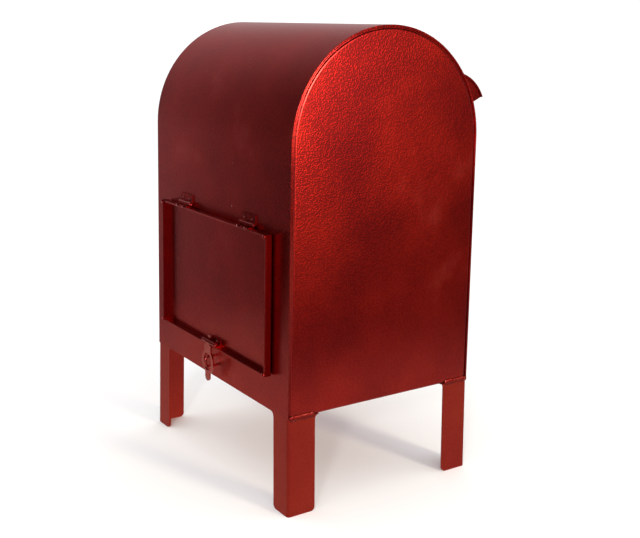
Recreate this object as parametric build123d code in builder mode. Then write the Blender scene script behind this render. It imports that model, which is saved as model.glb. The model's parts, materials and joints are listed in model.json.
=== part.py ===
from build123d import *
from math import cos, radians, sin, tan
import os

# Tin money box shaped like a street letter box: a folded sheet body with a half-round roof,
# two flanged end plates, four angle legs, a hood over the money slot at the front (-Y),
# and a hinged door with a hasp and staple at the back (+Y).
# The origin is on the floor under the middle of the whole object; +Z is up, +X is to the right
# of someone who faces the slot. Sizes are in millimetres.

# ---- Body ----
body_width = 150.0      # over the two end plates
body_depth = 120.0      # front wall to back wall; the roof is a half round of this diameter
wall_height = 138.0     # straight part of the walls, up to where the roof starts
sheet = 1.0             # gauge of the wrap, end plates, floor and hood
end_flange = 8.0        # flange of an end plate, tucked inside the wrap
end_bend = 1.8          # outer bend radius of an end plate, which leaves a groove by the wrap
nest_gap = 0.05         # solder film between nested sheets

# ---- Legs ----
leg_length = 52.0       # floor to the body's lower edge
leg_across = 14.0       # flange along the front or back wall
leg_along = 16.5        # flange along the end plate
leg_gauge = 1.4
leg_bend = 1.5          # outer radius of the angle's corner
leg_splay = 1.2         # degrees that each leg leans outwards, away from the middle
foot_round = 2.4        # rounding of the flanges' free lower corners
leg_weld = 2.6          # leg of the small weld fillets beside each flange

# ---- Hood and money slot ----
hood_inset = 20.0       # end plate to the hood's end
hood_radius = 24.4      # outer radius of the quarter-round hood
hood_rise = 10.0        # hood's centre above the start of the roof
hood_lip_angle = 25.0   # degrees that the hood's front edge stands above the horizontal
cheek_inset = 0.8       # hood's end to the outer face of its cheek
slot_margin = 11.2      # hood's cheek to the end of the slot
slot_height = 7.0
slot_rise = 14.0        # middle of the money slot above the start of the roof

# ---- Door ----
door_width = 119.0
door_height = 74.0
door_rise = 19.0        # the door's lower edge above the body's lower edge
door_gauge = 1.0
door_depth = 4.4        # back of the panel to the edge of its outward rim
door_bend = 1.3         # outer bend radius between panel and rim
door_lap = 6.0          # overlap of the door on the wall around its opening
door_gap = 0.3          # play between the closed door and the wall
opening_round = 3.0     # corner radius of the opening in the wall

# ---- Hinges, shared by the door and the hasp ----
hinge_spacing = 70.6    # between the middles of the two door hinges
hinge_width = 14.0
leaf_gauge = 0.6
leaf_height = 5.4       # wall leaf above the pin's centre
pin_radius = 0.6
pin_proud = 0.4         # how far a pin stands out of each end of its barrel
pin_seat = 0.02         # radial gap where a pin, rivet or wire is tight
pin_play = 0.06         # radial gap where a leaf turns on its pin
knuckle_gap = 0.25      # between knuckles, and from a barrel to what it turns past

# ---- Hasp and staple ----
strap_gauge = 0.9
strap_clear = 0.4       # strap to the edge of the door's rim
strap_neck = 7.2        # width of the strap above its ring
ring_drop = 11.2        # pin to the middle of the ring
ring_half_width = 6.5
ring_half_height = 6.6
eye_half_width = 4.3
eye_half_height = 5.0
tongue_width = 5.0
strap_drop = 22.3       # pin to the tip of the tongue
hasp_rivet_rise = 2.2   # door's lower rim to the rivets of the base leaf
hasp_leaf = 3.6         # height of the base leaf on the door's panel
wire_radius = 0.7       # staple wire
staple_height = 5.8     # between the centres of the staple's legs
staple_room = 0.4       # hanging strap to the inside of the staple's front
staple_bend = 2.2       # centre-line radius of the staple's outer bends
clinch_bend = 1.2       # centre-line radius where the staple's ends turn over inside
clinch_length = 4.0     # turned-over end inside the box

# ---- Rivets and weld spots ----
rivet_radius = 0.6
rivet_head = 1.0        # head radius
rivet_dome = 0.5        # head height
rivet_spacing = 7.8     # between the two rivets of one leaf
hinge_tack = 0.6        # radius of the weld spots that hold the door leaves
corner_tack = 0.9       # radius of the weld spots on the corners of the door's rim

# ---- Places that follow from the sizes above ----
barrel_radius = pin_radius + leaf_gauge     # a knuckle is one turn of the leaf round its pin
body_base = leg_length
roof_z = body_base + wall_height
door_bottom = body_base + door_rise
door_top = door_bottom + door_height
door_mid = (door_bottom + door_top) / 2
hood_reach = hood_radius * cos(radians(hood_lip_angle))
strap_reach = door_gap + door_depth + strap_clear + strap_gauge
back_reach = strap_reach + staple_room + 2 * wire_radius    # wall to the front of the staple
body_y = (hood_reach - back_reach) / 2      # centres the whole object on the origin
back_y = body_y + body_depth / 2
front_y = body_y - body_depth / 2
panel_y = back_y + door_gap + door_gauge    # outer face of the door's panel
rim_y = back_y + door_gap + door_depth      # edge of the door's rim
hood_z = roof_z + hood_rise
hood_half = body_width / 2 - hood_inset
slot_width = 2 * (hood_half - cheek_inset - sheet - slot_margin)
knuckle = (hinge_width - 2 * knuckle_gap) / 3
knuckle_pitch = knuckle + knuckle_gap
rivet_rise = barrel_radius + rivet_head + knuckle_gap   # hinge pin to the rivets of its leaf
door_pin_y = back_y + barrel_radius + knuckle_gap
door_pin_z = door_top + barrel_radius + knuckle_gap
rim_floor_z = door_bottom + door_gauge      # upper face of the door's lower rim
strap_y = rim_y + strap_clear               # back face of the hanging strap
hasp_pin_y = strap_y + strap_gauge - barrel_radius
hasp_pin_z = rim_floor_z + knuckle_gap + barrel_radius
hasp_rivet_z = rim_floor_z + hasp_rivet_rise
ring_z = hasp_pin_z - ring_drop
shoulder_drop = barrel_radius + knuckle_gap     # pin to where the strap widens

# Profiles are drawn across X; outlines on the walls are drawn as seen from outside.
middle = Plane(origin=(0, body_y, 0), x_dir=(0, 1, 0), z_dir=(1, 0, 0))
back = Plane(origin=(0, back_y, 0), x_dir=(-1, 0, 0), z_dir=(0, 1, 0))
front = Plane(origin=(0, front_y, 0), x_dir=(1, 0, 0), z_dir=(0, -1, 0))

os.makedirs("parts", exist_ok=True)


def write(piece, name):
    """Label a finished piece and write it as its own STEP file."""
    piece.part.label = name
    export_step(piece.part, f"parts/{name}.step")


def arch(inset, base, mode=Mode.ADD):
    """Draw the body's end outline, drawn in by inset, in the sketch that is open."""
    half = body_depth / 2 - inset
    with BuildLine() as outline:
        Polyline((-half, roof_z), (-half, base), (half, base), (half, roof_z))
        ThreePointArc((half, roof_z), (0, roof_z + half), (-half, roof_z))
    make_face(outline.edges(), mode=mode)


def rivet(grip, tail):
    """A dome-headed rivet along Y with its head seated on y = 0; tail 0 is a flush end."""
    with BuildPart() as piece:
        with BuildSketch(Plane.XY):
            with BuildLine():
                TangentArc((0, rivet_dome), (rivet_head, 0), tangent=(1, 0))
                if tail:
                    Line((0, rivet_dome), (0, -grip - tail))
                    TangentArc((0, -grip - tail), (rivet_head, -grip), tangent=(1, 0))
                    Polyline((rivet_head, -grip), (rivet_radius, -grip), (rivet_radius, 0), (rivet_head, 0))
                else:
                    Polyline((0, rivet_dome), (0, -grip), (rivet_radius, -grip), (rivet_radius, 0),
                             (rivet_head, 0))
            make_face()
        revolve(axis=Axis.Y)
    return piece


def weld_spot(radius):
    """Half a ball of weld metal, flat on y = 0 and standing out towards +Y."""
    with BuildPart() as piece:
        Sphere(radius)
        split(bisect_by=Plane.XZ, keep=Keep.BOTTOM)
    return piece


def group(piece, places):
    """Copies of one small piece at several places, as the separate solids of one node."""
    with BuildPart() as copies:
        with Locations(*places):
            add(piece.part)
    return copies


def pin(x, y, z):
    """A hinge pin along X, a little longer than its barrel, with eased ends."""
    with BuildPart() as piece:
        with BuildSketch(Plane.YZ.offset(x)):
            with Locations((y, z)):
                Circle(pin_radius)
        extrude(amount=hinge_width / 2 + pin_proud, both=True)
        chamfer(piece.edges().filter_by(GeomType.CIRCLE), pin_proud / 2)
    return piece


def cut_knuckles(x, y, z, clear_middle):
    """Clear a leaf around the knuckles of its mate: the middle one, or else the outer two."""
    places = [x] if clear_middle else [x - knuckle_pitch, x + knuckle_pitch]
    for place in places:
        with BuildSketch(Plane.YZ.offset(place)) as clearance:
            with Locations((y, z)):
                Circle(barrel_radius + knuckle_gap)
        extrude(clearance.sketch, amount=knuckle / 2 + knuckle_gap, both=True, mode=Mode.SUBTRACT)


# ---- Body wrap: back wall, roof and front wall in one folded sheet ----
door_hinges = (-hinge_spacing / 2, hinge_spacing / 2)
wall_rivets = [(x + side * rivet_spacing / 2, door_pin_z + rivet_rise)
               for x in door_hinges for side in (-1, 1)]
staple_holes = [(0, ring_z - staple_height / 2), (0, ring_z + staple_height / 2)]
with BuildPart() as body_wrap:
    with BuildSketch(middle):
        arch(0, body_base)
        arch(sheet, body_base - sheet, mode=Mode.SUBTRACT)
    extrude(amount=body_width / 2, both=True)
    with BuildSketch(back):
        with Locations((0, door_mid)):
            RectangleRounded(door_width - 2 * door_lap, door_height - 2 * door_lap, opening_round)
        with Locations(*wall_rivets):
            Circle(rivet_radius + pin_seat)
        with Locations(*staple_holes):
            Circle(wire_radius + pin_seat)
    extrude(amount=-2 * sheet, mode=Mode.SUBTRACT)
    with BuildSketch(front):
        with Locations((0, roof_z + slot_rise)):
            RectangleRounded(slot_width, slot_height, slot_height / 4)
    extrude(amount=-body_depth / 4, mode=Mode.SUBTRACT)
write(body_wrap, "body_wrap")


# ---- End plates: pans with a flange all round, let into the ends of the wrap ----
def rounded_block(side, inset, bend):
    """A block of the end outline, set in from the end of the wrap, with its outer edges rounded."""
    end_face = 0 if side < 0 else -1
    depth_in = inset - sheet - nest_gap
    with BuildPart() as block:
        with BuildSketch(middle.offset(side * (body_width / 2 - depth_in))):
            arch(inset, body_base + depth_in)
        extrude(amount=-side * end_flange)
        fillet(block.edges().filter_by(Axis.X).group_by(Axis.Z)[0], bend)
        fillet(block.faces().sort_by(Axis.X)[end_face].edges(), bend)
    return block


for side, name in ((-1, "end_plate_left"), (1, "end_plate_right")):
    hollow = rounded_block(side, 2 * sheet + nest_gap, end_bend - sheet)
    end_plate = rounded_block(side, sheet + nest_gap, end_bend)
    with end_plate:
        add(hollow.part, mode=Mode.SUBTRACT)
    write(end_plate, name)

# ---- Floor plate: lies on the lower flanges of the end plates, notched round their side flanges ----
floor_z = body_base + sheet + nest_gap
inside_depth = body_depth - 2 * (sheet + nest_gap)
with BuildPart() as floor_plate:
    with BuildSketch(Plane(origin=(0, body_y, floor_z))):
        Rectangle(body_width - 2 * (end_bend + nest_gap), inside_depth - 2 * (end_bend + nest_gap))
        Rectangle(body_width - 2 * (end_flange + nest_gap), inside_depth)
    extrude(amount=sheet)
write(floor_plate, "floor_plate")


# ---- Legs: angles butt-welded under the corners of the body ----
def leg(side, end):
    """One angle leg; side is -1 left or 1 right, end is -1 front or 1 back."""
    corner_x = side * body_width / 2
    corner_y = body_y + end * body_depth / 2
    across_x = corner_x - side * leg_across
    along_y = corner_y - end * leg_along
    inner_x = corner_x - side * leg_gauge
    inner_y = corner_y - end * leg_gauge
    with BuildPart() as angle:
        with BuildSketch(Plane.XY.offset(body_base)) as section:
            with BuildLine():
                Polyline((corner_x, corner_y), (across_x, corner_y), (across_x, inner_y),
                         (inner_x, inner_y), (inner_x, along_y), (corner_x, along_y), close=True)
            make_face()
            fillet(section.vertices().sort_by_distance((corner_x, corner_y, body_base))[0], leg_bend)
        lean = radians(leg_splay)
        extrude(amount=leg_length / cos(lean), dir=(side * sin(lean), 0, -cos(lean)))
        foot = angle.edges().group_by(Axis.Z)[0]
        fillet(foot.filter_by(Axis.Y).sort_by_distance((across_x, corner_y, 0))[0], foot_round)
        foot = angle.edges().group_by(Axis.Z)[0]
        fillet(foot.filter_by(Axis.X).sort_by_distance((corner_x, along_y, 0))[0], foot_round)
    return angle


def weld_fillet(start, towards):
    """Draw a hollow-faced weld fillet under the body's lower edge, in the sketch that is open."""
    bow = leg_weld * (1 - cos(radians(45)))
    with BuildLine() as outline:
        Polyline((start, body_base - leg_weld), (start, body_base), (start + towards * leg_weld, body_base))
        ThreePointArc((start + towards * leg_weld, body_base), (start + towards * bow, body_base - bow),
                      (start, body_base - leg_weld))
    make_face(outline.edges())


def leg_fillets(side, end):
    """The two weld fillets that tie the free edges of one leg to the body's lower edge."""
    corner_x = side * body_width / 2
    corner_y = body_y + end * body_depth / 2
    with BuildPart() as welds:
        with BuildSketch(Plane(origin=(0, corner_y, 0), x_dir=(1, 0, 0), z_dir=(0, -1, 0))):
            weld_fillet(corner_x - side * leg_across, -side)
        extrude(amount=end * leg_gauge)
        with BuildSketch(Plane.YZ.offset(corner_x)):
            weld_fillet(corner_y - end * leg_along, -end)
        extrude(amount=-side * leg_gauge)
    return welds


corners = {"front_left": (-1, -1), "front_right": (1, -1), "back_left": (-1, 1), "back_right": (1, 1)}
for name, (side, end) in corners.items():
    write(leg(side, end), f"leg_{name}")
fillet_pairs = [leg_fillets(side, end) for side, end in corners.values()]
with BuildPart() as leg_welds:
    for pair in fillet_pairs:
        add(pair.part)
write(leg_welds, "leg_welds")


# ---- Hood: a quarter-round sheet and two cheeks, soldered to the front of the roof ----
def hood_sector():
    """Keep what lies above the hood's lip line, and cut away what lies inside the body."""
    lip = radians(hood_lip_angle)
    far = 2 * hood_radius
    x, y = -body_depth / 2, hood_z
    with BuildLine() as outline:
        Polyline((x, y), (x - far, y + far * tan(lip)), (x - far, y + far), (x + far, y + far),
                 (x + far, y), close=True)
    make_face(outline.edges(), mode=Mode.INTERSECT)
    arch(0, body_base, mode=Mode.SUBTRACT)


with BuildPart() as hood_sheet:
    with BuildSketch(middle):
        with Locations((-body_depth / 2, hood_z)):
            Circle(hood_radius)
            Circle(hood_radius - sheet, mode=Mode.SUBTRACT)
        hood_sector()
    extrude(amount=hood_half, both=True)
write(hood_sheet, "hood_sheet")

for side, name in ((-1, "hood_cheek_left"), (1, "hood_cheek_right")):
    with BuildPart() as hood_cheek:
        with BuildSketch(middle.offset(side * (hood_half - cheek_inset))):
            with Locations((-body_depth / 2, hood_z)):
                Circle(hood_radius - sheet - nest_gap)
            hood_sector()
        extrude(amount=-side * sheet)
    write(hood_cheek, name)

# ---- Door: a pan whose rim turns outwards, bored through its panel for the hasp's rivets ----
hasp_rivets = [(side * rivet_spacing / 2, hasp_rivet_z) for side in (-1, 1)]
with BuildPart() as door:
    with BuildSketch(back.offset(door_gap)):
        with Locations((0, door_mid)):
            Rectangle(door_width, door_height)
    extrude(amount=door_depth)
    fillet(door.faces().sort_by(Axis.Y)[0].edges(), door_bend)
    with BuildSketch(back.offset(door_gap + door_gauge)):
        with Locations((0, door_mid)):
            Rectangle(door_width - 2 * door_gauge, door_height - 2 * door_gauge)
    extrude(amount=door_depth, mode=Mode.SUBTRACT)
    with BuildSketch(back.offset(door_gap)):
        with Locations(*hasp_rivets):
            Circle(rivet_radius + pin_seat)
    extrude(amount=door_gauge, mode=Mode.SUBTRACT)
write(door, "door")

rim_corners = [(x, rim_y, z) for x in (door_gauge - door_width / 2, door_width / 2 - door_gauge)
               for z in (rim_floor_z, door_top - door_gauge)]
write(group(weld_spot(corner_tack), rim_corners), "door_corner_welds")


# ---- Door hinges: a wall leaf riveted above the opening, a door leaf tacked on the rim ----
def wall_leaf(x):
    """Leaf that stands flat on the back wall and carries the two outer knuckles."""
    with BuildPart() as leaf:
        with BuildSketch(Plane.YZ.offset(x)):
            with Locations((door_pin_y, door_pin_z)):
                Circle(barrel_radius)
            with Locations((back_y, door_pin_z)):
                Rectangle(leaf_gauge, leaf_height, align=(Align.MIN, Align.MIN))
            Polygon((back_y, door_pin_z), (door_pin_y, door_pin_z - barrel_radius), (door_pin_y, door_pin_z),
                    align=None)
            with Locations((door_pin_y, door_pin_z)):
                Circle(pin_radius + pin_seat, mode=Mode.SUBTRACT)
        extrude(amount=hinge_width / 2, both=True)
        cut_knuckles(x, door_pin_y, door_pin_z, clear_middle=True)
        with BuildSketch(back):
            with Locations((-x, door_pin_z + rivet_rise)):
                with GridLocations(rivet_spacing, 0, 2, 1):
                    Circle(rivet_radius + pin_seat)
        extrude(amount=leaf_gauge, mode=Mode.SUBTRACT)
    return leaf


def door_leaf(x):
    """Leaf that lies on the door's upper rim and carries the middle knuckle."""
    with BuildPart() as leaf:
        with BuildSketch(Plane.YZ.offset(x)):
            with Locations((door_pin_y, door_pin_z)):
                Circle(barrel_radius)
            with Locations((door_pin_y, door_top)):
                Rectangle(rim_y - door_pin_y, leaf_gauge, align=(Align.MIN, Align.MIN))
            with Locations((door_pin_y, door_pin_z)):
                Circle(pin_radius + pin_play, mode=Mode.SUBTRACT)
        extrude(amount=hinge_width / 2, both=True)
        cut_knuckles(x, door_pin_y, door_pin_z, clear_middle=False)
    return leaf


for x, name in zip(door_hinges, ("left", "right")):
    write(wall_leaf(x), f"hinge_{name}_wall_leaf")
    write(door_leaf(x), f"hinge_{name}_door_leaf")
    write(pin(x, door_pin_y, door_pin_z), f"hinge_{name}_pin")

wall_rivet_places = [(x, back_y + leaf_gauge, z) for x, z in wall_rivets]
write(group(rivet(leaf_gauge + sheet, rivet_dome), wall_rivet_places), "hinge_wall_rivets")
tack_places = [(x + side * rivet_spacing / 2, rim_y, door_top)
               for x in door_hinges for side in (-1, 1)]
write(group(weld_spot(hinge_tack), tack_places), "hinge_door_tacks")

# ---- Hasp: a base leaf folded into the corner of the door's lower rim, and a ringed strap ----
with BuildPart() as hasp_base_leaf:
    with BuildSketch(Plane.YZ):
        with Locations((hasp_pin_y, hasp_pin_z)):
            Circle(barrel_radius)
        with Locations((panel_y, rim_floor_z)):
            Rectangle(leaf_gauge, hasp_leaf, align=(Align.MIN, Align.MIN))
            Rectangle(hasp_pin_y - panel_y, leaf_gauge, align=(Align.MIN, Align.MIN))
        with Locations((hasp_pin_y, hasp_pin_z)):
            Circle(pin_radius + pin_seat, mode=Mode.SUBTRACT)
    extrude(amount=hinge_width / 2, both=True)
    cut_knuckles(0, hasp_pin_y, hasp_pin_z, clear_middle=True)
    with BuildSketch(Plane(origin=(0, panel_y, 0), x_dir=(-1, 0, 0), z_dir=(0, 1, 0))):
        with Locations(*hasp_rivets):
            Circle(rivet_radius + pin_seat)
    extrude(amount=leaf_gauge, mode=Mode.SUBTRACT)
write(hasp_base_leaf, "hasp_base_leaf")
hasp_rivet_places = [(x, panel_y + leaf_gauge, z) for x, z in hasp_rivets]
write(group(rivet(leaf_gauge + door_gauge, 0), hasp_rivet_places), "hasp_rivets")
write(pin(0, hasp_pin_y, hasp_pin_z), "hasp_pin")

tongue_end = tongue_width / 2
with BuildPart() as hasp_strap:
    with BuildSketch(Plane(origin=(0, strap_y, hasp_pin_z), x_dir=(-1, 0, 0), z_dir=(0, 1, 0))) as strap:
        with Locations((0, -ring_drop)):
            Ellipse(ring_half_width, ring_half_height)
        with Locations((0, -shoulder_drop)):
            Rectangle(strap_neck, ring_drop - shoulder_drop, align=(Align.CENTER, Align.MAX))
        with Locations((0, -ring_drop)):
            Rectangle(tongue_width, strap_drop - ring_drop - tongue_end, align=(Align.CENTER, Align.MAX))
        with Locations((0, tongue_end - strap_drop)):
            Circle(tongue_end)
        with Locations((0, -ring_drop)):
            Ellipse(eye_half_width, eye_half_height, mode=Mode.SUBTRACT)
        Rectangle(knuckle, shoulder_drop, align=(Align.CENTER, Align.MAX))
    extrude(amount=strap_gauge)
    with BuildSketch(Plane.YZ):
        with Locations((hasp_pin_y, hasp_pin_z)):
            Circle(barrel_radius)
    extrude(amount=knuckle / 2, both=True)
    with BuildSketch(Plane.YZ):
        with Locations((hasp_pin_y, hasp_pin_z)):
            Circle(pin_radius + pin_play)
    extrude(amount=knuckle / 2, both=True, mode=Mode.SUBTRACT)
write(hasp_strap, "hasp_strap")

# ---- Staple: a wire loop through the back wall, its ends turned over inside ----
wire_front = back_y + back_reach - wire_radius
wire_inside = back_y - sheet - clinch_bend
leg_rise = staple_height / 2
end_rise = leg_rise + clinch_length
with BuildPart() as staple:
    with BuildLine() as bent_wire:
        FilletPolyline((0, wire_inside, ring_z + end_rise), (0, wire_inside, ring_z + leg_rise),
                       (0, wire_front, ring_z + leg_rise), (0, wire_front, ring_z - leg_rise),
                       (0, wire_inside, ring_z - leg_rise), (0, wire_inside, ring_z - end_rise),
                       radius=[clinch_bend, staple_bend, staple_bend, clinch_bend])
    with BuildSketch(Plane(origin=bent_wire.line @ 0, z_dir=bent_wire.line % 0)):
        Circle(wire_radius)
    sweep(path=bent_wire.line)
write(staple, "staple")
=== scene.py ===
# %% [markdown]
# # A tin money box, painted candy red
#
# The box is a little street letter box in sheet steel. Its shape is already modelled and packed, so
# this script loads that model as a frame, sets a studio round it, and then does the painter's and
# the welder's work: pebbled metallic paint over everything, lumpy welds, solder in the seams,
# rounded lips of paint on the cut edges, and a little dust.

# %% Load the frame
import json
import math

import bmesh
import bpy
from mathutils import Matrix, Vector, noise


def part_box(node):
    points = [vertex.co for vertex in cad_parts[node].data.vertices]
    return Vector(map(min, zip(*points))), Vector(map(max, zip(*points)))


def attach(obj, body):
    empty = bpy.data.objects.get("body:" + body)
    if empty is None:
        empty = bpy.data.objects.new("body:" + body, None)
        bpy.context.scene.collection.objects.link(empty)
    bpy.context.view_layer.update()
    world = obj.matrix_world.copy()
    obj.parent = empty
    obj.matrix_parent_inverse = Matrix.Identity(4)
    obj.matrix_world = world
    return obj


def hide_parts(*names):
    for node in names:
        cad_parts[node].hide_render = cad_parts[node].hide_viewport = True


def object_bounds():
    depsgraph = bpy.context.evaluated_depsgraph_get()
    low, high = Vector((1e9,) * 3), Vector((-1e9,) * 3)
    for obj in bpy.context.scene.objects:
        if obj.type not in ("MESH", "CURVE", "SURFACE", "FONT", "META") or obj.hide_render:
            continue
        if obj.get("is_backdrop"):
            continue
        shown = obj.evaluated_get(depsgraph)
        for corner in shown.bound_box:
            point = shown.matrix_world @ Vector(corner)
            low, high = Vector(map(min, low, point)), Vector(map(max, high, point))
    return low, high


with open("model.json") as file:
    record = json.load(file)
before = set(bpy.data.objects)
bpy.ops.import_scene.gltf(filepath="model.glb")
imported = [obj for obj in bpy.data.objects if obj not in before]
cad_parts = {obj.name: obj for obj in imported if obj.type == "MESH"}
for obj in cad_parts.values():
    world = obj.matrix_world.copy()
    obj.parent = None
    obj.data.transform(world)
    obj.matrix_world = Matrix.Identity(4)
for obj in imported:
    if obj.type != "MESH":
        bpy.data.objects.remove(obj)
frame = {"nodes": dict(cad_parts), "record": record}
cad_low, cad_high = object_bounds()
height = cad_high.z - cad_low.z
print("frame of", len(frame["nodes"]), "nodes,", round(height * 1000, 1), "mm high")

# %% [markdown]
# ## Where things are
#
# Every place below comes from the frame. The box's own corner points are read once from the nodes,
# so that the welds, the solder and the lips of paint land on the real edges even if a size changes
# later.

# %% Places on the box
wrap_low, wrap_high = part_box("body_wrap")
door_low, door_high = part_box("door")
roof_radius = (wrap_high.y - wrap_low.y) / 2
body_y = (wrap_high.y + wrap_low.y) / 2
roof_z = wrap_high.z - roof_radius
body_base = wrap_low.z
mm = 0.001
print("walls start at", round(body_base * 1000, 1), "mm, the roof at", round(roof_z * 1000, 1), "mm")

# %% [markdown]
# ## The camera
#
# The box is seen from behind, with the hinged door on the left and one end plate on the right, at
# about the height of its roof. The camera is placed on a sphere round the body by two angles, then
# leans by about one degree. A vertical shift keeps upright edges nearly upright while the whole
# box, feet included, stays in the frame. Distances are in box heights, so the view stays the same
# if the box grows.

# %% Set up the camera
view_turn, view_rise, view_lean = math.radians(235.72), math.radians(9.22), math.radians(1.05)
away, aside, above, aim_height = 2.365, 0.028, 0.068, 0.55
back = Vector((math.sin(view_turn) * math.cos(view_rise),
               -math.cos(view_turn) * math.cos(view_rise), math.sin(view_rise)))
level = (-back).cross(Vector((0, 0, 1))).normalized()
upward = level.cross(-back)
right = level * math.cos(view_lean) + upward * math.sin(view_lean)
up = upward * math.cos(view_lean) - level * math.sin(view_lean)
target = Vector((0, body_y, aim_height * height))
eye = target + height * (away * back + aside * right + above * up)
camera_data = bpy.data.cameras.new("studio_camera")
camera_data.sensor_width = 36
camera_data.lens = 57.02
camera_data.shift_y = -0.1245
camera_data.clip_start = 0.01
camera = bpy.data.objects.new("studio_camera", camera_data)
camera.matrix_world = Matrix.Translation(eye) @ Matrix((right, up, back)).transposed().to_4x4()
bpy.context.scene.collection.objects.link(camera)
bpy.context.scene.camera = camera
print("camera", round((eye - target).length, 3), "m from the middle of the box")

# %% [markdown]
# ## Node sheets written as sums
#
# The room and the paint are both node sheets. Wiring them by hand is hard to read, so a small
# class lets a socket be added and multiplied like a number, and each sum adds its Math nodes.
# Every other node comes from one method: its type, its settings, then what its sockets get.

# %% A small language for nodes


class Wire:
    """An output socket that takes part in sums."""

    def __init__(self, sheet, socket):
        self.sheet, self.socket = sheet, socket

    def maths(self, operation, *values):
        return self.sheet.node("ShaderNodeMath", {"operation": operation}, values)

    def __add__(self, other): return self.maths("ADD", self, other)
    def __radd__(self, other): return self.maths("ADD", other, self)
    def __sub__(self, other): return self.maths("SUBTRACT", self, other)
    def __rsub__(self, other): return self.maths("SUBTRACT", other, self)
    def __mul__(self, other): return self.maths("MULTIPLY", self, other)
    def __rmul__(self, other): return self.maths("MULTIPLY", other, self)


class NodeSheet:
    """The node sheet of a material or of the world."""

    def __init__(self, owner):
        owner.use_nodes = True
        self.tree = owner.node_tree

    def node(self, kind, settings=None, values=None, output=0):
        made = self.tree.nodes.new(kind)
        for key, value in (settings or {}).items():
            setattr(made, key, value)
        pairs = values.items() if isinstance(values, dict) else enumerate(values or ())
        for key, value in pairs:
            self.feed(made.inputs[key], value)
        return Wire(self, made.outputs[output])

    def feed(self, socket, value):
        if isinstance(value, Wire):
            self.tree.links.new(value.socket, socket)
        else:
            socket.default_value = value

    def ease(self, value, start, end, low=0.0, high=1.0):
        """Turns value smoothly from low at start to high at end, and holds it outside."""
        return self.node("ShaderNodeMapRange", {"interpolation_type": "SMOOTHSTEP"},
                         {"Value": value, "From Min": start, "From Max": end, "To Min": low,
                          "To Max": high})


# %% [markdown]
# ## The studio
#
# Candy paint is a tinted mirror under a clear coat, so its colour is mostly what it reflects. Two
# lamps light the box. The soft key lamp, to the right of the camera, gives the end plate its
# orange glow. The small spark lamp, behind the camera and to its left, leaves points of light on
# the rivets, knuckles and pins.
#
# The rest of the colour comes from a dim room, painted into the world by direction. A pale wall
# beyond the far side greys the roof and the far half of the back, weaker walls stand in front,
# behind, overhead and past the camera, and the dark gaps between them leave deep shades in the
# paint. Only reflections see the room. To everything else the world is plain and bright, which
# keeps the backdrop pale and would drown such soft shades if reflections saw it too.

# %% Light the room


def soft_lamp(name, place, aim, width, tall, power, tint=(1, 1, 1)):
    """An area lamp at place that faces aim."""
    data = bpy.data.lights.new(name, "AREA")
    data.shape = "RECTANGLE"
    data.size = width
    data.size_y = tall
    data.energy = power
    data.color = tint
    lamp = bpy.data.objects.new(name, data)
    turn = (Vector(place) - Vector(aim)).to_track_quat("Z", "Y")
    lamp.matrix_world = Matrix.Translation(place) @ turn.to_matrix().to_4x4()
    lamp.visible_camera = False
    bpy.context.scene.collection.objects.link(lamp)
    return lamp


middle = Vector((0, body_y, 0.6 * height))
warm = (1, 0.88, 0.66)
key = soft_lamp("key_lamp", (-1.23, -0.31, 0.35), middle, 0.2, 0.2, 10.8, warm)
spark = soft_lamp("spark_lamp", (-1.0, 0.95, 0.62), middle, 0.12, 0.12, 5.0)
for lamp in (key, spark):
    print(lamp.name, "is", round((lamp.location - middle).length, 2), "m from the box")

# %% Paint the room
world = bpy.data.worlds.new("studio_room")
bpy.context.scene.world = world
world.cycles.sampling_method = "NONE"
room = NodeSheet(world)
look = room.node("ShaderNodeTexCoord", output="Generated")
rise = room.node("ShaderNodeSeparateXYZ", values=[look], output="Z")


def wall(turn, outer, inner, glow):
    """A wall towards a compass direction, where 0 is +X and 90 is +Y.

    It is dark where the ray's cosine with that direction is below outer, and has its full glow
    where the cosine is above inner.
    """
    compass = (math.cos(math.radians(turn)), math.sin(math.radians(turn)), 0)
    cosine = room.node("ShaderNodeVectorMath", {"operation": "DOT_PRODUCT"}, [look, compass],
                       "Value")
    return room.ease(cosine, outer, inner, 0.0, glow)


pale_wall = wall(-20, 0.67, 0.78, 1.0) * (0.75 - rise * 0.6)
front_wall = wall(-95, 0.82, 0.95, 0.35)
back_wall = wall(95, 0.85, 0.97, 0.15)
camera_wall = wall(146, 0.84, 0.97, 0.5)
overhead = room.ease(rise, 0.5, 0.95, 0.0, 0.2)
darkest, backdrop = 0.02, 1.2
dim_room = pale_wall + overhead + front_wall + back_wall + camera_wall + darkest
in_reflections = room.node("ShaderNodeLightPath", output="Is Glossy Ray")
strength = in_reflections * dim_room + (1 - in_reflections) * backdrop
room.feed(room.tree.nodes["Background"].inputs["Strength"], strength)
room.tree.nodes["Background"].inputs["Color"].default_value = (1, 1, 1, 1)
bpy.context.scene.view_settings.view_transform = "Standard"
print("the room has", len(room.tree.nodes), "nodes")

# %% [markdown]
# ## The floor
#
# The box stands on a wide sheet of matt pale paper. Mirrored in the paint it would whiten every
# lower edge, so reflections don't see it. They see a smaller and darker table top in its place,
# which nothing else sees. Both belong to the studio and not to the box, so they are put on the
# stage.

# %% Lay the floor


def pale_floor(name, size, colour):
    """A flat square of matt paper under the box."""
    mesh = bmesh.new()
    bmesh.ops.create_grid(mesh, x_segments=1, y_segments=1, size=size / 2)
    data = bpy.data.meshes.new(name)
    mesh.to_mesh(data)
    mesh.free()
    floor = bpy.data.objects.new(name, data)
    bpy.context.scene.collection.objects.link(floor)
    paper = NodeSheet(bpy.data.materials.new(name))
    shader = paper.tree.nodes["Principled BSDF"]
    shader.inputs["Base Color"].default_value = (*colour, 1)
    shader.inputs["Roughness"].default_value = 0.9
    shader.inputs["Specular IOR Level"].default_value = 0.1
    data.materials.append(bpy.data.materials[name])
    floor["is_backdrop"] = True
    print(name, "is", size, "m square")
    return floor


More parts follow.
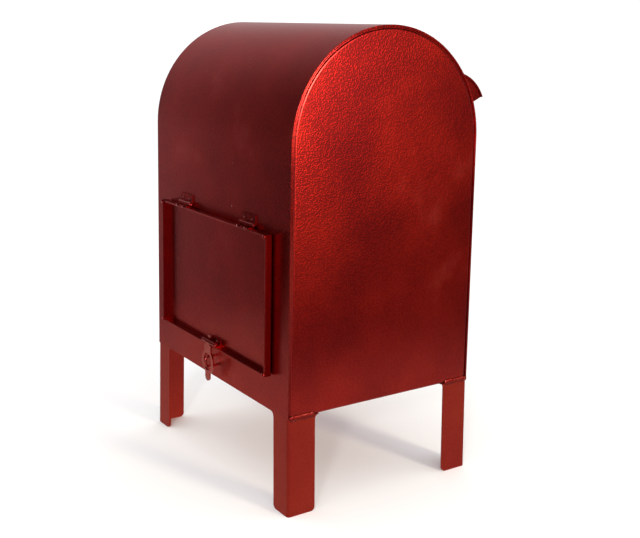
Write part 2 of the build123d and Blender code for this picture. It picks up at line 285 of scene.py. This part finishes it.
wide_floor = pale_floor("studio_floor", 40, (0.9, 0.9, 0.9))
wide_floor.visible_glossy = False
table_top = pale_floor("table_top", 0.5, (0.42, 0.39, 0.33))
table_top.visible_camera = table_top.visible_diffuse = table_top.visible_shadow = False

# %% [markdown]
# ## The paint
#
# Candy paint goes on in layers: metal flake first, then clear red, then varnish. Sprayed thickly
# over a rough ground, it draws up into small pebbles as it dries. In the shader the flake is a high
# Metallic value under a red Base Color, and the varnish is the coat. Specular Tint keeps glancing
# reflections red, where plain metal would turn white along every edge.
#
# The pebbles are the round cells of a Voronoi pattern. A noise pushes the cells out of line, a
# slower one lifts whole patches, and a Bump node turns the sum into relief. The tone follows the
# pebbles a little and slow clouds a lot. A coarser Voronoi pattern picks out a few of its cells for
# specks of dust, which are paler and less metallic, and thin smudges lie where the clouds are
# densest. Everything is measured in metres on the object, so it stays put when a part moves.
#
# There are four mixes: pebbled for the panels, nearly smooth for the legs, glossy for the hinges
# and the hasp, with a paler tone that is a painted reflection of bright surroundings, and dark and
# dull over the weld metal. There the darker tone is painted shade, which keeps the beads in the
# joint under the body faint, and the dullness comes from a higher roughness.

# %% Mix the paint
GLANCING_RED = (1, 0.48, 0.48, 1)
DUST_PINK = (0.7, 0.42, 0.38, 1)
CLOUD_SCALE, SPECK_SCALE = 22.0, 130.0


def candy_paint(name, pebble, depth, roughness, deep, bright, coat=0.6, coat_roughness=0.26):
    """Clear red over metal flake on a pebbled ground.

    The pebbles are about pebble metres across and depth metres high, and the flake's tone runs
    from deep to bright.
    """
    material = bpy.data.materials.new(name)
    paint = NodeSheet(material)
    shader = paint.tree.nodes["Principled BSDF"]
    place = paint.node("ShaderNodeTexCoord", output="Object")
    drift = paint.node("ShaderNodeTexNoise", {},
                       {"Vector": place, "Scale": 0.45 / pebble, "Detail": 1.0}, "Color")
    warped = paint.node("ShaderNodeVectorMath", {"operation": "MULTIPLY_ADD"},
                        [drift, (pebble * 0.9,) * 3, place])
    cells = paint.node("ShaderNodeTexVoronoi", {"feature": "SMOOTH_F1"},
                       {"Vector": warped, "Scale": 1 / pebble, "Smoothness": 0.5}, "Distance")
    swell = paint.node("ShaderNodeTexNoise", {},
                       {"Vector": place, "Scale": 0.3 / pebble, "Detail": 2.0})
    grain = paint.ease(cells, 0.15, 0.65, 1.0, 0.0)
    relief = grain + swell * 0.5
    bump = paint.node("ShaderNodeBump", {},
                      {"Height": relief, "Strength": 1.0, "Distance": depth}, "Normal")
    clouds = paint.node("ShaderNodeTexNoise", {},
                        {"Vector": place, "Scale": CLOUD_SCALE, "Detail": 3.0})
    tone = paint.ease(grain * 0.15 + clouds * 0.8, 0.18, 0.78)
    colour = paint.node("ShaderNodeMix", {"data_type": "RGBA"},
                        {"Factor": tone, "A": (*deep, 1), "B": (*bright, 1)}, "Result")
    speck_cells = {"Vector": warped, "Scale": SPECK_SCALE}
    near_speck = paint.node("ShaderNodeTexVoronoi", {}, speck_cells, "Distance")
    cell_colour = paint.node("ShaderNodeTexVoronoi", {}, speck_cells, "Color")
    lot = paint.node("ShaderNodeSeparateXYZ", values=[cell_colour])
    specks = paint.ease(near_speck, 0.03, 0.075, 1.0, 0.0) * paint.ease(lot, 0.78, 0.82)
    dust = specks * 0.55 + paint.ease(clouds, 0.62, 0.78, 0.0, 0.07)
    dusty = paint.node("ShaderNodeMix", {"data_type": "RGBA"},
                       {"Factor": dust, "A": colour, "B": DUST_PINK}, "Result")
    paint.feed(shader.inputs["Base Color"], dusty)
    paint.feed(shader.inputs["Metallic"], 1 - dust * 0.6)
    paint.feed(shader.inputs["Roughness"], roughness + clouds * 0.08 - 0.04)
    paint.feed(shader.inputs["Normal"], bump)
    shader.inputs["Specular Tint"].default_value = GLANCING_RED
    shader.inputs["Coat Weight"].default_value = coat
    shader.inputs["Coat Roughness"].default_value = coat_roughness
    print(name, "has", len(paint.tree.nodes), "nodes")
    return material


# %% Paint the box
panel_paint = candy_paint("panel_paint", pebble=0.96 * mm, depth=0.034 * mm, roughness=0.31,
                          deep=(0.33, 0.0008, 0.003), bright=(0.58, 0.0155, 0.007))
leg_paint = candy_paint("leg_paint", pebble=0.9 * mm, depth=0.01 * mm, roughness=0.33,
                        deep=(0.42, 0.008, 0.004), bright=(0.55, 0.034, 0.01))
# The hardware mix is paler and greyer than the panels' mix. That paleness is a painted reflection,
# standing in for the brighter surroundings that the hinges, rivets and hasp mirror.
hardware_paint = candy_paint("hardware_paint", pebble=0.8 * mm, depth=0.02 * mm, roughness=0.24,
                             deep=(0.42, 0.02, 0.02), bright=(0.62, 0.06, 0.05),
                             coat=1.0, coat_roughness=0.1)
# The weld mix's darker tone is painted shade, which keeps the beads in the joint under the body
# faint.
weld_paint = candy_paint("weld_paint", pebble=0.9 * mm, depth=0.02 * mm, roughness=0.46,
                         deep=(0.22, 0.002, 0.002), bright=(0.32, 0.009, 0.004))
paints = {"panel_paint": panel_paint, "leg_paint": leg_paint, "hardware_paint": hardware_paint}
slots = {part["node"]: part["material_slot"] for part in frame["record"]["subparts"]}
for name, node in frame["nodes"].items():
    node.data.materials.clear()
    node.data.materials.append(paints[slots[name]])
print("painted", len(frame["nodes"]), "nodes from", len(paints), "tins")

# %% [markdown]
# ## Lumps left by the torch and the hammer
#
# Weld metal, tack welds and hammered rivets are never true spheres. Each one here starts as a small
# icosphere, is flattened against the sheet it sits on and pushed about by smooth noise. The noise is
# read at the lump's own place, so no two are alike and every run gives the same ones.

# %% A lump, a bead and a finished piece


def lump(mesh, place, size, wobble=0.22):
    """Adds one uneven lump to mesh; size is its half-length along X, Y and Z."""
    place = Vector(place)
    ball = bmesh.ops.create_icosphere(mesh, subdivisions=3, radius=1.0)
    for vert in ball["verts"]:
        push = 1 + wobble * noise.noise(vert.co * 1.4 + place * 900)
        vert.co = place + Vector(vert.co[i] * size[i] for i in range(3)) * push


def bead(mesh, start, end, size, pitch):
    """Lays overlapping lumps from start to end, as a torch leaves them."""
    start, end = Vector(start), Vector(end)
    count = max(2, round((end - start).length / pitch))
    for i in range(count + 1):
        place = start.lerp(end, i / count)
        swell = 1 + 0.3 * noise.noise(place * 700)
        lump(mesh, place, [half * swell for half in size])


def finished(mesh, name, body, material):
    """Turns mesh into a smooth-shaded piece that rides on body."""
    for face in mesh.faces:
        face.smooth = True
    data = bpy.data.meshes.new(name)
    mesh.to_mesh(data)
    mesh.free()
    piece = bpy.data.objects.new(name, data)
    bpy.context.scene.collection.objects.link(piece)
    data.materials.append(material)
    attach(piece, body)
    print(name, "has", len(data.polygons), "faces")
    return piece


def places_in(name):
    """The centre and half-size of each loose solid in a node's mesh."""
    mesh = bmesh.new()
    mesh.from_mesh(frame["nodes"][name].data)
    bmesh.ops.remove_doubles(mesh, verts=mesh.verts, dist=1e-6)
    left, found = set(mesh.verts), []
    while left:
        island, edge = set(), {left.pop()}
        while edge:
            island |= edge
            edge = {e.other_vert(v) for v in edge for e in v.link_edges} - island
        left -= island
        low = Vector(min(v.co[i] for v in island) for i in range(3))
        high = Vector(max(v.co[i] for v in island) for i in range(3))
        found.append(((low + high) / 2, (high - low) / 2))
    mesh.free()
    return sorted(found, key=lambda item: tuple(item[0]))


# %% [markdown]
# ## Leg welds
#
# Each leg is butt-welded under a corner of the body. The torch ran along the bottom of the end
# plate, so a thin flow of weld metal fills the small ledge between the set-in plate and the leg. It
# is a row of flat overlapping lumps, with a few small drops on the leg's top edge: two near the
# corner where the torch started, one on the way and one at the leg's free edge. Each drop in the
# list has its distance from the corner, its depth below the leg's top and its size; the first two
# are in millimetres, and a depth less than 0 is above the top.

# %% Run the leg welds
bead_half = (0.34 * mm, 1.4 * mm, 1.5 * mm)
bead_pitch, bead_depth, bead_rise = 1.2 * mm, 0.85 * mm, 0.4 * mm
start_gap, end_gap = 1.6 * mm, 1.4 * mm
drops = ((1.7, -0.6, 0.6), (3.0, 0.9, 0.4), (8.4, -0.8, 0.4), (14.4, -0.5, 0.5))
mesh = bmesh.new()
for name in ("leg_front_left", "leg_front_right", "leg_back_left", "leg_back_right"):
    low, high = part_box(name)
    side = -1 if low.x < 0 else 1
    face_x = low.x if side < 0 else high.x
    outer_y, inner_y = (low.y, high.y) if low.y < 0 else (high.y, low.y)
    inward = 1 if inner_y > outer_y else -1
    ledge_x, flow_z = face_x - side * bead_depth, high.z + bead_rise
    bead(mesh, (ledge_x, outer_y + inward * start_gap, flow_z),
         (ledge_x, inner_y - inward * end_gap, flow_z), bead_half, bead_pitch)
    for along, below, size in drops:
        lump(mesh, (face_x - side * 0.7 * mm, outer_y + inward * along * mm, high.z - below * mm),
             (0.9 * size * mm, 1.1 * size * mm, 1.1 * size * mm), 0.5)
finished(mesh, "leg_weld_beads", "body", weld_paint)

# %% [markdown]
# ## Solder in the end seams, paint on the cut edges
#
# Each end plate is a shallow pan pushed into the wrap, and the groove between the wrap's edge and
# the pan's round bend is partly filled with solder and paint. Paint also gathers on cut edges, so
# the wrap's ends and the door's rim have a rounded lip that catches a thin line of light. A filler
# or a lip is one round section drawn along a path: a vector extrudes it, and a centre with an axis
# spins it. Sweeping a section this way keeps one smooth skin, where a row of cylinders would show
# its joints.

# %% Draw a section along a path


def drawn_section(mesh, start, radius, moves, closed=False):
    """Sweeps a round section, lying flat at start, through the moves."""
    ring = bmesh.ops.create_circle(mesh, cap_ends=True, segments=10, radius=radius)["verts"]
    bmesh.ops.translate(mesh, verts=ring, vec=start)
    first = face = list(ring[0].link_faces)
    for move in moves:
        if isinstance(move, Vector):
            made = bmesh.ops.extrude_face_region(mesh, geom=face)["geom"]
            moved = [part for part in made if isinstance(part, bmesh.types.BMVert)]
            bmesh.ops.translate(mesh, verts=moved, vec=move)
        else:
            centre, axis, angle, steps = move
            made = bmesh.ops.spin(mesh, geom=face, cent=centre, axis=axis, angle=angle, steps=steps,
                                  use_merge=False)["geom_last"]
        if closed or face is not first:
            bmesh.ops.delete(mesh, geom=face, context="FACES_ONLY")
        face = [part for part in made if isinstance(part, bmesh.types.BMFace)]
    if closed:
        bmesh.ops.delete(mesh, geom=face, context="FACES_ONLY")


def clean(mesh, unevenness):
    """Merges the joints, turns the skin outwards and makes it a little uneven."""
    bmesh.ops.remove_doubles(mesh, verts=mesh.verts, dist=1e-6)
    bmesh.ops.recalc_face_normals(mesh, faces=mesh.faces)
    for vert in mesh.verts:
        vert.co.x += unevenness * noise.noise(vert.co * 260)


# %% Fill the end seams and round the wrap's edges


def over_the_roof(mesh, x, inset, radius):
    """Up the back wall, half a turn round the roof's centre and down the front wall."""
    foot = body_base + 1.2 * mm
    climb = Vector((0, 0, roof_z - foot))
    roof_turn = ((0, body_y, roof_z), (1, 0, 0), math.pi, 64)
    drawn_section(mesh, (x, wrap_high.y - inset, foot), radius, [climb, roof_turn, -climb])


solder, lips = bmesh.new(), bmesh.new()
for edge_x, inward in ((wrap_low.x, 1), (wrap_high.x, -1)):
    over_the_roof(solder, edge_x + inward * 1.15 * mm, inset=1.55 * mm, radius=0.75 * mm)
    over_the_roof(lips, edge_x + inward * 0.4 * mm, inset=0.5 * mm, radius=0.53 * mm)
clean(solder, 0.12 * mm)
clean(lips, 0.03 * mm)
finished(solder, "seam_solder", "body", panel_paint)
finished(lips, "wrap_edge_paint", "body", panel_paint)

# %% Round the door's rim
rim_inset, corner = 0.5 * mm, 0.8 * mm
left_x, right_x = door_low.x + rim_inset, door_high.x - rim_inset
low_z, high_z = door_low.z + rim_inset, door_high.z - rim_inset
rim_edge_y, lip_radius = door_high.y - 0.45 * mm, 0.54 * mm
across = Vector((right_x - left_x - 2 * corner, 0, 0))
upwards = Vector((0, 0, high_z - low_z - 2 * corner))


def rim_corner(x, z):
    return ((x, rim_edge_y, z), (0, 1, 0), math.pi / 2, 6)


mesh = bmesh.new()
drawn_section(mesh, (left_x, rim_edge_y, low_z + corner), lip_radius,
              [upwards, rim_corner(left_x + corner, high_z - corner),
               across, rim_corner(right_x - corner, high_z - corner),
               -upwards, rim_corner(right_x - corner, low_z + corner),
               -across, rim_corner(left_x + corner, low_z + corner)], closed=True)
clean(mesh, 0.03 * mm)
finished(mesh, "door_rim_paint", "door", panel_paint)

# %% [markdown]
# ## Rivets and tack welds
#
# The model carries every rivet head and tack as a clean little solid. An uneven lump, mostly a
# little larger, takes the place of each one. The wall rivets stay flatter than their solids along
# Y, because the door's leaves swing close over them. The ends of the pins are peened over, so each
# gets a small button.

# %% Hammer the rivets and tack the hinges


def lumps_for(node, name, body, grow, wobble, material):
    """Replaces a node of small solids with uneven lumps in the same places."""
    mesh = bmesh.new()
    for centre, half in places_in(node):
        lump(mesh, centre, [half[i] * grow[i] for i in range(3)], wobble)
    piece = finished(mesh, name, body, material)
    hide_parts(node)
    return piece


lumps_for("hinge_wall_rivets", "hinge_nail_heads", "body", (1.25, 0.95, 1.25), 0.1,
          hardware_paint)
lumps_for("hinge_door_tacks", "hinge_tack_lumps", "door", (2.0, 1.0, 1.2), 0.3,
          hardware_paint)
lumps_for("hasp_rivets", "hasp_rivet_heads", "door", (1.15, 1.0, 1.1), 0.1,
          hardware_paint)
lumps_for("door_corner_welds", "door_weld_lumps", "door", (1.3, 1.15, 1.3), 0.4,
          panel_paint)

# %% Peen the pins


def pin_heads(name, body, pins):
    """A peened button on both ends of each pin."""
    mesh = bmesh.new()
    for pin in pins:
        low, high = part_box(pin)
        for end_x in (low.x, high.x):
            lump(mesh, (end_x, (low.y + high.y) / 2, (low.z + high.z) / 2),
                 (0.6 * mm, 0.95 * mm, 0.95 * mm), 0.4)
    return finished(mesh, name, body, hardware_paint)


pin_heads("hinge_pin_heads", "body", ("hinge_left_pin", "hinge_right_pin"))
pin_heads("hasp_pin_heads", "door", ("hasp_pin",))

# %% [markdown]
# ## Finish
#
# The last cell measures the finished box, which should differ from the modelled one by no more
# than the thickness of a weld.

# %% Finish
low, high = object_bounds()
